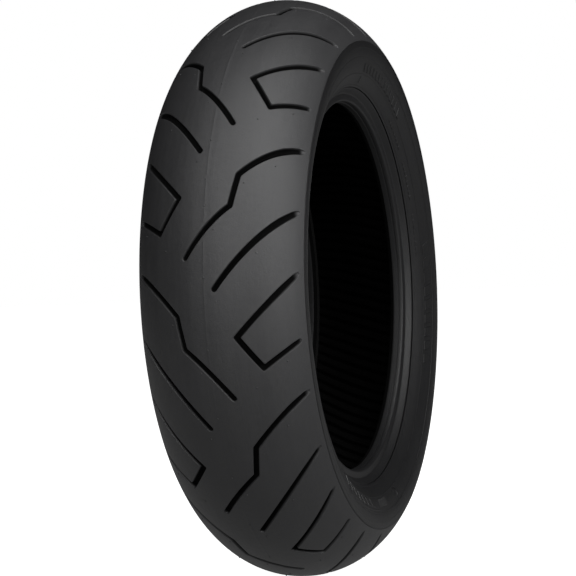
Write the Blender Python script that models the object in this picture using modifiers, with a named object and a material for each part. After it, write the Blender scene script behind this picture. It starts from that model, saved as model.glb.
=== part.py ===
"""Motorcycle rear tyre, 180/65-16 class, built up from the layers a tyre is cured from.

The wheel's axis is the Y axis, the origin is the wheel's centre and +Z is up. The rolling direction
is -X, so the left side is -Y. Every layer is a closed section turned about the Y axis. A section is
drawn in millimetres as (y, r) points: y across the tyre, r out from the axis. It is drawn for the
right half (y > 0), and the left half mirrors it.
"""

import math

import bmesh
import bpy

MM = 0.001
GAP = 0.3                # clearance between neighbouring layers
SEGMENTS = 28            # facets round the wheel, four for each pitch of the tread pattern

# Crown: the tread surface is an arc across the tyre.
OUTER_RADIUS = 320.0
CROWN_RADIUS = 101.0
CROWN_CENTRE = OUTER_RADIUS - CROWN_RADIUS
SHOULDER_ANGLE = 60.15   # degrees from the crown to the tread's edge
CROWN_FACETS = 11        # facets across the tread surface; the middle one is flat
LAYER_STEP = 20.0        # degrees between the corners of every hidden layer

# Layer thicknesses, from the tread surface inwards
TREAD_CAP = 9.5
TREAD_BASE = 1.2
BELT = 0.8
PLY = 0.8
LINER = 1.0
BEAD_WRAP = 0.5
CHAFER = 0.6

# Edges of the layers under the tread, in degrees from the crown
BASE_EDGE = 59.8
OUTER_BELT_EDGE = 49.0
INNER_BELT_EDGE = 52.0
EDGE_CUSHION_START = 52.6

# Sidewall and bead, as (y, r)
FLANK = [(87.6, 262.0), (85.5, 251.0), (79.5, 235.0)]
RIM_LINE = (69.6, 219.9)
CASING_WIDEST = (82.1, 252.0)
CASING_LOWER = (75.0, 235.0)
CASING_KNEE = (65.3, 220.5)
CASING_END = (57.4, 214.2)
JOINT_ABOVE_KNEE = 2.0   # where the sidewall meets the rim cushion, along the casing
TURN_UP_START = 5.0      # end of the turned-up ply, below CASING_LOWER along the casing
FLANGE_FACE_Y = 61.6     # flat face that bears on the rim flange
FLANGE_FACE_TOP = 213.4
FLANGE_FACE_BOTTOM = 208.2
HEEL = [(59.8, 204.9), (56.8, 203.3)]
TOE = (46.2, 202.6)

# Bead core: a rectangular bundle of wire
CORE_Y = 51.3
CORE_WIDTH = 4.6
CORE_BOTTOM = 207.8
CORE_TOP = 213.8
LINER_END = 213.9        # lowest point of the liner, on the bead's inner face
MAIN_PLY_BEND = (51.2, 218.3)

# Tread grooves. A leg of a groove is (s, angle) to (s, angle): s is the distance across the tread
# from its centre along the surface, negative to the left, and the angle is measured about the wheel
# in degrees. The third value is how far the leg bows from a straight line, in degrees.
PITCHES = 7
PITCH_ANGLE = 360.0 / PITCHES
GROOVE_EDGE = 98.0       # distance from the centre at which a groove fades out
GROOVE_WIDTH = 5.8
GROOVE_DEPTH = 7.2
GROOVE_FLOOR_RATIO = 0.6
CUTTER_RISE = 3.0        # how far a groove cutter stands above the tread
FADE_LENGTH = 26.0       # stretch over which a groove narrows to its outer end
FADE_WIDTH = 0.25
FADE_DEPTH = 0.25
LEG_STEP = 23.0          # longest stretch between two sections of a cutter
GROOVES = {
    "zigzag": [
        ((-98.0, 146.4), (-32.0, 154.5), 1.1),
        ((-32.0, 154.5), (-25.5, 160.5), 0.0),
        ((-25.5, 160.5), (22.0, 170.3), 0.8),
    ],
    "plain": [((-98.0, 160.2), (-8.0, 176.0), 1.5)],
    "hook": [
        ((-98.0, 173.0), (-30.0, 184.3), 0.3),
        ((-30.0, 184.3), (-54.0, 190.5), 0.0),
        ((-54.0, 190.5), (-98.0, 186.5), 0.15),
    ],
}

MATERIALS = {
    "tread_rubber": ((0.022, 0.022, 0.023), 0.62, 0.0),
    "side_rubber": ((0.018, 0.018, 0.019), 0.5, 0.0),
    "liner_rubber": ((0.012, 0.012, 0.013), 0.45, 0.0),
    "base_rubber": ((0.03, 0.03, 0.03), 0.7, 0.0),
    "ply_fabric": ((0.33, 0.28, 0.2), 0.85, 0.0),
    "belt_fabric": ((0.45, 0.36, 0.14), 0.8, 0.0),
    "chafer_fabric": ((0.16, 0.15, 0.13), 0.85, 0.0),
    "bead_steel": ((0.55, 0.42, 0.25), 0.35, 1.0),
}


# Section geometry

def polar(radius, angle):
    """Point of the crown section at a radius from the arc's centre and an angle from the crown."""
    turn = math.radians(angle)
    return (radius * math.sin(turn), CROWN_CENTRE + radius * math.cos(turn))


def layer_point(depth, angle):
    """Point of a hidden layer under the tread, on the straight facet that spans the angle."""
    half = LAYER_STEP / 2
    facet = min(int(angle // LAYER_STEP), int(SHOULDER_ANGLE // LAYER_STEP) - 1)
    off_middle = math.radians(angle - (facet * LAYER_STEP + half))
    radius = (CROWN_RADIUS - depth) * math.cos(math.radians(half)) / math.cos(off_middle)
    return polar(radius, angle)


def layer_line(depth, edge):
    """Half of a hidden layer's face, from the crown out to its edge angle."""
    corners = [k * LAYER_STEP for k in range(4) if k * LAYER_STEP < edge]
    return [layer_point(depth, angle) for angle in corners + [edge]]


def along(start, end, distance):
    """Point at a distance from start towards end."""
    length = math.dist(start, end)
    return tuple(a + (b - a) * distance / length for a, b in zip(start, end))


def inward(start, end):
    """Unit vector square to a line that runs from crown to bead, pointing into the tyre."""
    length = math.dist(start, end)
    return ((end[1] - start[1]) / length, (start[0] - end[0]) / length)


def offset(line, distance):
    """Line moved sideways by a distance, towards the cavity where positive, with mitred corners.

    A line that starts on the centre plane is mitred there with its mirror image.
    """
    moved = []
    for i, (y, r) in enumerate(line):
        sides = []
        if i > 0:
            sides.append(inward(line[i - 1], line[i]))
        elif y == 0.0:
            sides.append(inward((-line[1][0], line[1][1]), line[0]))
        if i < len(line) - 1:
            sides.append(inward(line[i], line[i + 1]))
        ny = sum(side[0] for side in sides)
        nr = sum(side[1] for side in sides)
        scale = len(sides) * distance / (ny * ny + nr * nr)
        moved.append((y + ny * scale, r + nr * scale))
    return moved


def ribbon(line, start, thickness):
    """Closed section of a strip between two offsets of a line."""
    return offset(line, start) + offset(line, start + thickness)[::-1]


def flip(points):
    """The same points on the other side of the tyre."""
    return [(-y, r) for y, r in points]


def whole(right_half):
    """A line from the crown to the right bead, extended to run from the left bead to the right."""
    return flip(right_half[:0:-1]) + right_half


def whole_ribbon(face, start, thickness):
    """Closed section of a strip that runs from bead to bead."""
    outer = whole(offset(face, start))
    inner = whole(offset(face, start + thickness))
    return outer + inner[::-1]


def meet(start, end, y):
    """Point of the line through start and end at a given y."""
    share = (y - start[0]) / (end[0] - start[0])
    return (y, start[1] + share * (end[1] - start[1]))


def around_core(distance):
    """Inner side, outer side and bottom of a layer that wraps the bead core at a distance."""
    inner_y = CORE_Y - CORE_WIDTH / 2 - distance
    outer_y = CORE_Y + CORE_WIDTH / 2 + distance
    return inner_y, outer_y, CORE_BOTTOM - distance


# Depths of the layers' outer faces under the tread surface
BASE_DEPTH = TREAD_CAP + GAP
OUTER_BELT_DEPTH = BASE_DEPTH + TREAD_BASE + GAP
INNER_BELT_DEPTH = OUTER_BELT_DEPTH + BELT + GAP
CASING_DEPTH = INNER_BELT_DEPTH + BELT + GAP
PLY_STEP = PLY + GAP

# Distances of the layers' faces from the bead core
PLY_OFF_CORE = GAP + BEAD_WRAP + GAP
CHAFER_OFF_CORE = PLY_OFF_CORE + PLY_STEP
CUSHION_OFF_CORE = CHAFER_OFF_CORE + CHAFER + GAP


def casing_crown(depth):
    return [layer_point(depth, k * LAYER_STEP) for k in range(4)]


def casing_line():
    """Outer face of the outer ply, from the crown to its end beside the bead."""
    sides = [CASING_WIDEST, CASING_LOWER, CASING_KNEE, CASING_END]
    return casing_crown(CASING_DEPTH) + sides


def inner_ply_face():
    """Face of the inner ply that meets the core: down the casing, round the bead and up again."""
    casing = casing_line()
    main = offset(casing, PLY_STEP)[:6]
    inner_y, outer_y, bottom = around_core(PLY_OFF_CORE)
    turn_up = offset(casing, PLY_STEP + PLY)
    top = along(turn_up[5], turn_up[6], TURN_UP_START)
    foot = meet(turn_up[6], turn_up[7], outer_y)
    wrap = [MAIN_PLY_BEND, (inner_y, CORE_TOP), (inner_y, bottom), (outer_y, bottom)]
    return main + wrap + [foot, turn_up[6], top]


def liner_face():
    """Outer face of the liner: it follows the inner ply as far as the bead's inner face."""
    face = offset(inner_ply_face(), PLY_STEP)[:7]
    inner_y, _, _ = around_core(PLY_OFF_CORE + PLY_STEP)
    return face + [(inner_y, LINER_END)]


# Sections of the turned pieces

def tread_cap_section():
    edge = SHOULDER_ANGLE
    step = 2 * edge / CROWN_FACETS
    outer = [polar(CROWN_RADIUS, -edge + k * step) for k in range(CROWN_FACETS + 1)]
    inner = whole(layer_line(TREAD_CAP, edge))
    return outer + inner[::-1]


def crown_strip_section(depth, thickness, edge):
    outer = whole(layer_line(depth, edge))
    inner = whole(layer_line(depth + thickness, edge))
    return outer + inner[::-1]


def edge_cushion_section():
    outer_depth = BASE_DEPTH + TREAD_BASE + GAP
    inner_depth = CASING_DEPTH - GAP
    return [
        layer_point(outer_depth, EDGE_CUSHION_START),
        layer_point(outer_depth, BASE_EDGE),
        layer_point(inner_depth, BASE_EDGE),
        layer_point(inner_depth, EDGE_CUSHION_START),
    ]


def joint_line():
    """Ends of the joint between sidewall and rim cushion: at the rim line, and at the casing."""
    casing = offset(casing_line(), -GAP)
    return RIM_LINE, along(casing[6], casing[5], JOINT_ABOVE_KNEE)


def sidewall_section():
    casing = offset(casing_line(), -GAP)
    rim, root = joint_line()
    rise = GAP / 2
    top_angle = SHOULDER_ANGLE + math.degrees(GAP / casing_crown(CASING_DEPTH)[3][0])
    top_outer = polar(CROWN_RADIUS, top_angle)
    top_inner = meet(casing[3], casing[4], polar(CROWN_RADIUS - CASING_DEPTH + GAP, top_angle)[0])
    lower_outer = along(rim, FLANK[-1], rise)
    lower_inner = along(root, casing[5], rise)
    return [top_outer] + FLANK + [lower_outer, lower_inner, casing[5], casing[4], top_inner]


def rim_cushion_section():
    casing = offset(casing_line(), -GAP)
    rim, root = joint_line()
    drop = GAP / 2
    _, outer_y, top = around_core(CUSHION_OFF_CORE)
    chafer_top = (outer_y, meet(casing[6], casing[7], outer_y)[1])
    flange_top = (FLANGE_FACE_Y, FLANGE_FACE_TOP)
    flange_bottom = (FLANGE_FACE_Y, FLANGE_FACE_BOTTOM)
    outer = [along(rim, flange_top, drop), flange_top, flange_bottom] + HEEL + [TOE]
    inner = [(TOE[0], top), (outer_y, top), chafer_top, casing[6], along(root, casing[6], drop)]
    return outer + inner


def chafer_section():
    inner_y, outer_y, bottom = around_core(CHAFER_OFF_CORE)
    top = LINER_END - GAP
    face = [(inner_y, top), (inner_y, bottom), (outer_y, bottom), (outer_y, top)]
    return ribbon(face, 0.0, CHAFER)


def bead_wrap_section():
    inner_y, outer_y, bottom = around_core(GAP)
    face = [(inner_y, CORE_TOP), (inner_y, bottom), (outer_y, bottom), (outer_y, CORE_TOP)]
    return ribbon(face, 0.0, BEAD_WRAP)


def bead_core_section():
    inner_y, outer_y, bottom = around_core(0.0)
    return [(outer_y, CORE_TOP), (outer_y, bottom), (inner_y, bottom), (inner_y, CORE_TOP)]


def bead_filler_section():
    """The apex: a wedge on the core, between the inner ply and its turned-up end."""
    ply = inner_ply_face()
    inner_side = offset(ply[5:8], -GAP)
    outer_side = offset(ply[10:13], -GAP)
    inner_y, outer_y, _ = around_core(0.0)
    base = CORE_TOP + GAP
    tip_inner = along(inner_side[1], inner_side[0], 0.62 * math.dist(*inner_side[:2]))
    return [(outer_y, base), outer_side[0], outer_side[1], outer_side[2], tip_inner,
            inner_side[1], (inner_y, base)]


# Objects

def collection(name):
    made = bpy.data.collections.new(name)
    bpy.context.scene.collection.children.link(made)
    return made


def material(name):
    colour, roughness, metallic = MATERIALS[name]
    made = bpy.data.materials.new(name)
    made.use_nodes = True
    shader = made.node_tree.nodes["Principled BSDF"]
    shader.inputs["Base Color"].default_value = (*colour, 1.0)
    shader.inputs["Roughness"].default_value = roughness
    shader.inputs["Metallic"].default_value = metallic
    made.diffuse_color = (*colour, 1.0)
    return made


def outward(section):
    """The section's points in the order that turns into a surface facing out."""
    area = sum(a[0] * b[1] - b[0] * a[1] for a, b in zip(section, section[1:] + section[:1]))
    return section if area > 0 else section[::-1]


def turned(name, section, finish, group, axis_empty):
    """A ring: the closed section in the XY plane, turned about the Y axis by a Screw modifier."""
    points = outward(section)
    mesh = bpy.data.meshes.new(name)
    corners = [(r * MM, y * MM, 0.0) for y, r in points]
    edges = [(i, (i + 1) % len(points)) for i in range(len(points))]
    mesh.from_pydata(corners, edges, [])
    ring = bpy.data.objects.new(name, mesh)
    group.objects.link(ring)
    ring.parent = axis_empty
    screw = ring.modifiers.new("turn", "SCREW")
    screw.axis = "Y"
    screw.angle = 2 * math.pi
    screw.steps = SEGMENTS
    screw.render_steps = SEGMENTS
    screw.use_merge_vertices = True
    screw.merge_threshold = 0.00001
    screw.use_smooth_shade = False
    ring.data.materials.append(material(finish))
    return ring


def tread_point(s, angle, height):
    """Point above or below the tread surface: s across it from the centre, angle about the wheel."""
    y, r = polar(CROWN_RADIUS + height, math.degrees(s / CROWN_RADIUS))
    turn = math.radians(angle)
    return (r * math.cos(turn) * MM, y * MM, r * math.sin(turn) * MM)


def groove_path(legs):
    """Points (s, angle) along a groove, with its corners kept."""
    path = [legs[0][0]]
    for (s0, a0), (s1, a1), bow in legs:
        steps = max(1, math.ceil(abs(s1 - s0) / LEG_STEP))
        for k in range(1, steps + 1):
            t = k / steps
            sag = 4 * bow * t * (1 - t)
            path.append((s0 + (s1 - s0) * t, a0 + (a1 - a0) * t - sag))
    return path


def fade(s):
    """1 over most of a groove, falling to 0 where it runs out near the shoulder."""
    left = GROOVE_EDGE - abs(s)
    return min(1.0, max(0.0, left / FADE_LENGTH))


def surface_step(a, b):
    """Unit direction from one (s, angle) point to another, measured along the tread surface."""
    ds = b[0] - a[0]
    reach = CROWN_CENTRE + CROWN_RADIUS * math.cos((a[0] + b[0]) / 2 / CROWN_RADIUS)
    du = math.radians(b[1] - a[1]) * reach
    length = math.hypot(ds, du)
    return ds / length, du / length


def groove_sections(path):
    """Four-cornered sections square to the path: two corners above the tread, two on the floor."""
    sections = []
    for i, (s, angle) in enumerate(path):
        steps = []
        if i > 0:
            steps.append(surface_step(path[i - 1], path[i]))
        if i < len(path) - 1:
            steps.append(surface_step(path[i], path[i + 1]))
        ns = -sum(step[1] for step in steps)
        nu = sum(step[0] for step in steps)
        mitre = min(2.0, len(steps) / math.hypot(ns, nu))
        length = math.hypot(ns, nu)
        full = fade(s)
        width = GROOVE_WIDTH * (FADE_WIDTH + (1 - FADE_WIDTH) * full)
        depth = GROOVE_DEPTH * (FADE_DEPTH + (1 - FADE_DEPTH) * full)
        reach = CROWN_CENTRE + CROWN_RADIUS * math.cos(s / CROWN_RADIUS)
        spread = width * (1 + (1 - GROOVE_FLOOR_RATIO) * CUTTER_RISE / depth)
        corners = []
        for across, height in ((-spread, CUTTER_RISE), (spread, CUTTER_RISE),
                               (width * GROOVE_FLOOR_RATIO, -depth),
                               (-width * GROOVE_FLOOR_RATIO, -depth)):
            side = across / 2 * mitre / length
            turn = math.degrees(nu * side / reach)
            corners.append(tread_point(s + ns * side, angle + turn, height))
        sections.append(corners)
    return sections


def loft(bm, sections):
    """Closed body through a row of four-cornered sections."""
    rows = [[bm.verts.new(corner) for corner in section] for section in sections]
    for row, following in zip(rows, rows[1:]):
        for k in range(4):
            m = (k + 1) % 4
            bm.faces.new((row[k], row[m], following[m], following[k]))
    bm.faces.new(rows[0][::-1])
    bm.faces.new(rows[-1])


def groove_cutters(group, axis_empty):
    """All the tread grooves as one cutter. The right half mirrors the left, half a pitch on."""
    bm = bmesh.new()
    for legs in GROOVES.values():
        path = groove_path(legs)
        for pitch in range(PITCHES):
            turn = pitch * PITCH_ANGLE
            left = [(s, angle + turn) for s, angle in path]
            right = [(-s, angle + turn + PITCH_ANGLE / 2) for s, angle in path]
            loft(bm, groove_sections(left))
            loft(bm, groove_sections(right))
    bmesh.ops.recalc_face_normals(bm, faces=bm.faces)
    mesh = bpy.data.meshes.new("groove_cutters")
    bm.to_mesh(mesh)
    bm.free()
    cutters = bpy.data.objects.new("groove_cutters", mesh)
    group.objects.link(cutters)
    cutters.parent = axis_empty
    cutters.hide_render = True
    cutters.display_type = "WIRE"
    return cutters


def main():
    for old in list(bpy.data.objects):
        bpy.data.objects.remove(old, do_unlink=True)
    parts = collection("motorcycle_tire")
    cutters = collection("cutters")
    axis_empty = bpy.data.objects.new("wheel_axis", None)
    parts.objects.link(axis_empty)

    casing = casing_line()
    bead_to_bead = {
        "inner_liner": (whole_ribbon(liner_face(), 0.0, LINER), "liner_rubber"),
        "body_ply_inner": (whole_ribbon(inner_ply_face(), 0.0, PLY), "ply_fabric"),
        "body_ply_outer": (whole_ribbon(casing, 0.0, PLY), "ply_fabric"),
        "belt_inner": (crown_strip_section(INNER_BELT_DEPTH, BELT, INNER_BELT_EDGE), "belt_fabric"),
        "belt_outer": (crown_strip_section(OUTER_BELT_DEPTH, BELT, OUTER_BELT_EDGE), "belt_fabric"),
        "tread_base": (crown_strip_section(BASE_DEPTH, TREAD_BASE, BASE_EDGE), "base_rubber"),
        "tread_cap": (tread_cap_section(), "tread_rubber"),
    }
    made = {}
    for name, (section, finish) in bead_to_bead.items():
        made[name] = turned(name, section, finish, parts, axis_empty)

    one_side = {
        "bead_core": (bead_core_section(), "bead_steel"),
        "bead_filler": (bead_filler_section(), "base_rubber"),
        "bead_wrap": (bead_wrap_section(), "chafer_fabric"),
        "chafer": (chafer_section(), "chafer_fabric"),
        "rim_cushion": (rim_cushion_section(), "side_rubber"),
        "sidewall": (sidewall_section(), "side_rubber"),
        "belt_edge_cushion": (edge_cushion_section(), "base_rubber"),
    }
    for name, (section, finish) in one_side.items():
        turned(name + "_right", section, finish, parts, axis_empty)
        turned(name + "_left", flip(section), finish, parts, axis_empty)

    grooves = made["tread_cap"].modifiers.new("grooves", "BOOLEAN")
    grooves.operation = "DIFFERENCE"
    grooves.solver = "EXACT"
    grooves.object = groove_cutters(cutters, axis_empty)


main()
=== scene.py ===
"""Looks of the motorcycle tyre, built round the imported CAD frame.

The wheel's axis is Y, the origin is the wheel's centre, +Z is up and the rolling direction is -X.
Angles about the wheel run from +X towards +Z. A section is a list of (y, r) points in metres: y
across the tyre and r out from the axis. Sheets are drawn flat, as (u, v) in metres, u across the
rubber and v round it, and then wrapped onto the tyre.
"""

import math

import bmesh
import bpy
import numpy as np
from mathutils import Matrix, Vector
from mathutils.geometry import delaunay_2d_cdt


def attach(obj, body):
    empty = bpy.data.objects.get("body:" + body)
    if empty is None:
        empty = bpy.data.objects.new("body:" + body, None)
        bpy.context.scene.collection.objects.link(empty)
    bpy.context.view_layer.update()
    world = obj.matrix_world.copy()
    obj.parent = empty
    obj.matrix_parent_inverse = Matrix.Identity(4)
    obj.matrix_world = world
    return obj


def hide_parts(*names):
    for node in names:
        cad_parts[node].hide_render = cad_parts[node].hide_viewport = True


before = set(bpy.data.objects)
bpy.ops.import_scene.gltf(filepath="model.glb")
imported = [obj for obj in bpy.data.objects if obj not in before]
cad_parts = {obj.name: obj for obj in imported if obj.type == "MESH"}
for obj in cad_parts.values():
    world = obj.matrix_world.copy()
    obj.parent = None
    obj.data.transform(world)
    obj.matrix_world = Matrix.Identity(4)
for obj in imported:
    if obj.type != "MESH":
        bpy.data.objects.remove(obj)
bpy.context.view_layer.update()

MM = 0.001
DEG = math.pi / 180
FULL_TURN = 2 * math.pi

# Crown of the tread: an arc across the tyre
OUTER_RADIUS = 320.0 * MM
CROWN_RADIUS = 101.0 * MM
CROWN_CENTRE = OUTER_RADIUS - CROWN_RADIUS
SHOULDER_ANGLE = 60.15 * DEG
SHOULDER = CROWN_RADIUS * SHOULDER_ANGLE
CAP_THICKNESS = 9.5 * MM

# Tread pattern. A leg of a groove runs from (s, angle) to (s, angle) and bows by some degrees:
# s is the distance in millimetres across the tread from its centre, and the angle is in degrees.
# These legs lie on the left half. The right half mirrors them, half a pitch further round.
PITCHES = 7
PITCH = FULL_TURN / PITCHES
GROOVES = {
    "zigzag": [
        ((-98.0, 146.4), (-32.0, 154.5), 1.1),
        ((-32.0, 154.5), (-25.5, 160.5), 0.0),
        ((-25.5, 160.5), (22.0, 170.3), 0.8),
    ],
    "plain": [((-98.0, 160.2), (-8.0, 176.0), 1.5)],
    "hook": [
        ((-98.0, 173.0), (-30.0, 184.3), 0.3),
        ((-30.0, 184.3), (-54.0, 190.5), 0.0),
        ((-54.0, 190.5), (-98.0, 186.5), 0.15),
    ],
}
# Depth and width along a groove, in millimetres, against the leg's number plus the fraction of it
DEPTHS = {
    "zigzag": [(0, 0.8), (0.06, 3.6), (0.3, 6.4), (0.55, 7.2), (2.527, 7.2), (2.545, 5.3), (3, 5.0)],
    "plain": [(0, 0.8), (0.05, 3.6), (0.3, 5.4), (0.655, 5.8), (0.67, 7.2), (1, 7.0)],
    "hook": [(0, 0.8), (0.07, 3.6), (0.4, 5.6), (0.93, 5.8), (1.1, 7.2), (1.9, 7.2), (2.1, 5.4),
             (2.5, 5.0), (2.91, 3.6), (3, 0.8)],
}
WIDTHS = {
    "zigzag": [(0, 4.4), (0.06, 6.6), (0.3, 7.6), (0.7, 6.6), (1, 6.2), (3, 6.0)],
    "plain": [(0, 4.4), (0.05, 6.4), (0.25, 7.4), (0.6, 6.6), (1, 6.0)],
    "hook": [(0, 4.4), (0.06, 6.4), (0.3, 7.2), (0.7, 6.4), (2.3, 6.2), (2.75, 6.2), (2.93, 5.4),
             (3, 4.0)],
}
# Levels of a groove's rounded lip: offset from the half width and height, both in millimetres
EDGE_LEVELS = [(0.45, 0.0), (0.12, -0.1), (-0.12, -0.45)]
FULL_LIP_DEPTH = 2.0 * MM  # where a groove is shallower, its lip is smaller
# Levels lower down: share of the half width, and height over the floor as a share of the depth
WALL_LEVELS = [(0.82, 0.3), (0.66, 0.08), (0.45, 0.0)]
CORNER_ROUND = {"zigzag": 1.5, "plain": 1.5, "hook": 2.2}  # rounding outside a corner
INNER_ROUND = 0.4  # share of it inside the corner
CAP_STEPS = 6
GROOVE_STEP = 2.6 * MM
CORNER_MARGIN = 1.0  # mm past a corner's rounding where the cross-sections start
KINK_GAP = 0.6 * MM  # least gap from the other cross-sections to one where the depth turns
SEAM = [(-106.03, 191.8), (-98.0, 192.0), (-30.0, 200.5), (-5.0, 207.0), (15.0, 206.0),
        (98.0, 192.3), (106.03, 191.8)]  # line clear of the grooves, where pitches meet
ROW_STEP = 3.3 * MM
ROUND_STEPS = 72  # grid steps round one pitch
PARTING_ROWS = [(-0.35, 0.0), (0.0, 0.06), (0.35, 0.0)]  # s and height of the mould's joint, mm
CENTRE_STUBS = 4  # vent stubs on the mould's joint, in each pitch
FIRST_CENTRE_STUB = 160.5
VENT_STUBS = [(-38.0, 156.0), (-68.5, 151.7), (-53.0, 169.0), (-79.0, 190.1), (-44.0, 193.9),
              (-11.8, 177.6), (-10.0, 164.8)]  # s and angle on the left half, mirrored as above
STUB_RADIUS = 0.9 * MM
STUB_HEIGHT = 0.8 * MM
STUB_CORNERS = 8
STUB_LEVELS = [(1.0, 0.0), (0.7, 0.85), (0.35, 1.0)]  # shares of its radius and its height
STUB_GAP = 1.0 * MM  # least gap from the grid to a stub
EDGE_GAP = 1.5 * MM  # least gap from the grid to a groove or a border
PARTING_GAP = 1.2 * MM  # the same, for the mould's joint
INNER_ROWS = 24  # rows of faces across the tread's inner face

SLIVER = 1e-9  # area of a triangle too thin to keep
BLOCK = 2000  # points whose gaps are measured at a time
TURN_STEPS = 252  # steps round the hidden turned pieces


# Points on the tyre

def on_wheel(y, r, angle):
    """Arrays or numbers to an array of points."""
    return np.stack(np.broadcast_arrays(r * np.cos(angle), y, r * np.sin(angle)), axis=-1)


def crown_point(s, angle, height):
    """Arrays of tread coordinates to an array of points."""
    phi = s / CROWN_RADIUS
    reach = CROWN_RADIUS + height
    return on_wheel(reach * np.sin(phi), CROWN_CENTRE + reach * np.cos(phi), angle)


def crown_stretch(s):
    """Length on the rubber for one unit of v, which is measured at the tyre's middle."""
    return (CROWN_CENTRE + CROWN_RADIUS * math.cos(s / CROWN_RADIUS)) / OUTER_RADIUS


# Meshes

def new_object(name, data):
    made = bpy.data.objects.new(name, data)
    bpy.context.scene.collection.objects.link(made)
    return made


def mesh_object(name, points, faces, sharp_angle=40.0):
    mesh = bpy.data.meshes.new(name)
    mesh.from_pydata(np.asarray(points).tolist(), [], [tuple(f) for f in faces])
    mesh.validate()
    mesh.shade_smooth()
    mesh.set_sharp_from_angle(angle=sharp_angle * DEG)
    return new_object(name, mesh)


def signed_area(loop):
    return sum(a[0] * b[1] - b[0] * a[1] for a, b in zip(loop, loop[1:] + loop[:1])) / 2


def ring_faces(a, b, count):
    """Quads between two closed rows of points, whose numbers start at a and at b."""
    return [(a + k, b + k, b + (k + 1) % count, a + (k + 1) % count) for k in range(count)]


def turned(section, steps):
    """Points and quads of one closed section turned round the wheel."""
    section = section if signed_area(section) > 0 else section[::-1]
    y, r = np.transpose(section)
    count, points, faces = len(section), [], []
    for i in range(steps):
        points.append(on_wheel(y, r, FULL_TURN * i / steps))
        faces += ring_faces(i * count, (i + 1) % steps * count, count)
    return np.concatenate(points), faces


# Flat sheets

def inside(points, loop):
    """Which of the points lie inside the closed loop."""
    found = np.zeros(len(points), dtype=bool)
    x, y = points[:, 0], points[:, 1]
    for (x0, y0), (x1, y1) in zip(loop, np.roll(loop, -1, axis=0)):
        if y0 == y1:
            continue
        crosses = (y0 > y) != (y1 > y)
        found ^= crosses & (x < x0 + (y - y0) / (y1 - y0) * (x1 - x0))
    return found


def gap_to(points, line):
    """Least distance from each of the points to the points of a line."""
    if not len(points):
        return np.zeros(0)
    least = np.full(len(points), np.inf)
    for start in range(0, len(points), BLOCK):
        apart = points[start:start + BLOCK, None, :] - line[None, :, :]
        least[start:start + BLOCK] = np.sqrt((apart ** 2).sum(axis=2)).min(axis=1)
    return least


class Sheet:
    """Points on the flat with a height each, and the closed loops that edges must follow."""

    def __init__(self):
        self.points = []
        self.heights = []
        self.edges = []

    def add(self, points, heights):
        first = len(self.points)
        self.points += [tuple(p) for p in points]
        self.heights += list(np.broadcast_to(heights, len(points)))
        return list(range(first, len(self.points)))

    def add_loop(self, points, heights):
        index = self.add(points, heights)
        self.edges += list(zip(index, index[1:] + index[:1]))
        return index

    def triangles(self, border, holes=()):
        """Triangles inside the border loop and outside the holes."""
        flat = np.array(self.points)
        centre = flat.mean(axis=0)
        scaled = [Vector(p) for p in (flat - centre) / MM]
        made = delaunay_2d_cdt(scaled, self.edges, [], 0, 1e-5)
        source = [ids[0] for ids in made[3]]
        faces = np.array([[source[i] for i in face] for face in made[2]])
        middles = flat[faces].mean(axis=1)
        sides = flat[faces[:, 1:]] - flat[faces[:, :1]]
        areas = abs(np.cross(sides[:, 0], sides[:, 1])) / 2
        keep = inside(middles, border) & (areas > SLIVER)
        for hole in holes:
            keep &= ~inside(middles, hole)
        return faces[keep].tolist()


# Tread

def leg_point(leg, t):
    (s0, angle0), (s1, angle1), bow = leg
    angle = angle0 + (angle1 - angle0) * t - 4 * bow * t * (1 - t)
    return np.array([(s0 + (s1 - s0) * t) * MM, angle * DEG * OUTER_RADIUS])


def leg_heading(leg, t):
    """Direction along the leg, one unit long on the rubber."""
    ahead = leg_point(leg, t + 0.01) - leg_point(leg, t - 0.01)
    ahead[1] *= crown_stretch(leg_point(leg, t)[0])
    return ahead / math.hypot(*ahead)


def leg_length(leg):
    reach = leg_point(leg, 1) - leg_point(leg, 0)
    return math.hypot(reach[0], reach[1] * crown_stretch(leg_point(leg, 0.5)[0]))


def moved(point, direction, distance):
    """A point moved along a direction that is given as it is on the rubber."""
    return point + distance * np.array([direction[0], direction[1] / crown_stretch(point[0])])


def turn_between(before, after):
    """Angle from the end of one leg to the start of the next, positive to the left."""
    a, b = leg_heading(before, 1), leg_heading(after, 0)
    return math.atan2(a[0] * b[1] - a[1] * b[0], a[0] * b[0] + a[1] * b[1])


def table(pairs, place):
    return float(np.interp(place, [p[0] for p in pairs], [p[1] for p in pairs])) * MM


def groove_levels(name, place):
    """Offset and height of each level of the groove's wall at a place along it."""
    half, depth = table(WIDTHS[name], place) / 2, table(DEPTHS[name], place)
    full = min(1.0, depth / FULL_LIP_DEPTH)
    levels = [(half + offset * MM * full, height * MM * full) for offset, height in EDGE_LEVELS]
    return levels + [(half * share, (rise - 1) * depth) for share, rise in WALL_LEVELS]


def leg_places(name, number, leg, first, last):
    """Places along one leg where the groove gets a cross-section."""
    margin = (CORNER_ROUND[name] + CORNER_MARGIN) * MM / leg_length(leg)
    low = 0.0 if first else margin
    high = 1.0 - (table(WIDTHS[name], number + 1) / 2 / leg_length(leg) if last else margin)
    steps = max(2, round((high - low) * leg_length(leg) / GROOVE_STEP))
    places = {low + (high - low) * i / steps for i in range(steps + 1)}
    kinks = {place - number for place, _ in DEPTHS[name] if low < place - number < high}
    spaced = {p for p in places if all(abs(p - kink) * leg_length(leg) > KINK_GAP for kink in kinks)}
    return sorted(spaced | kinks)


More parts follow.
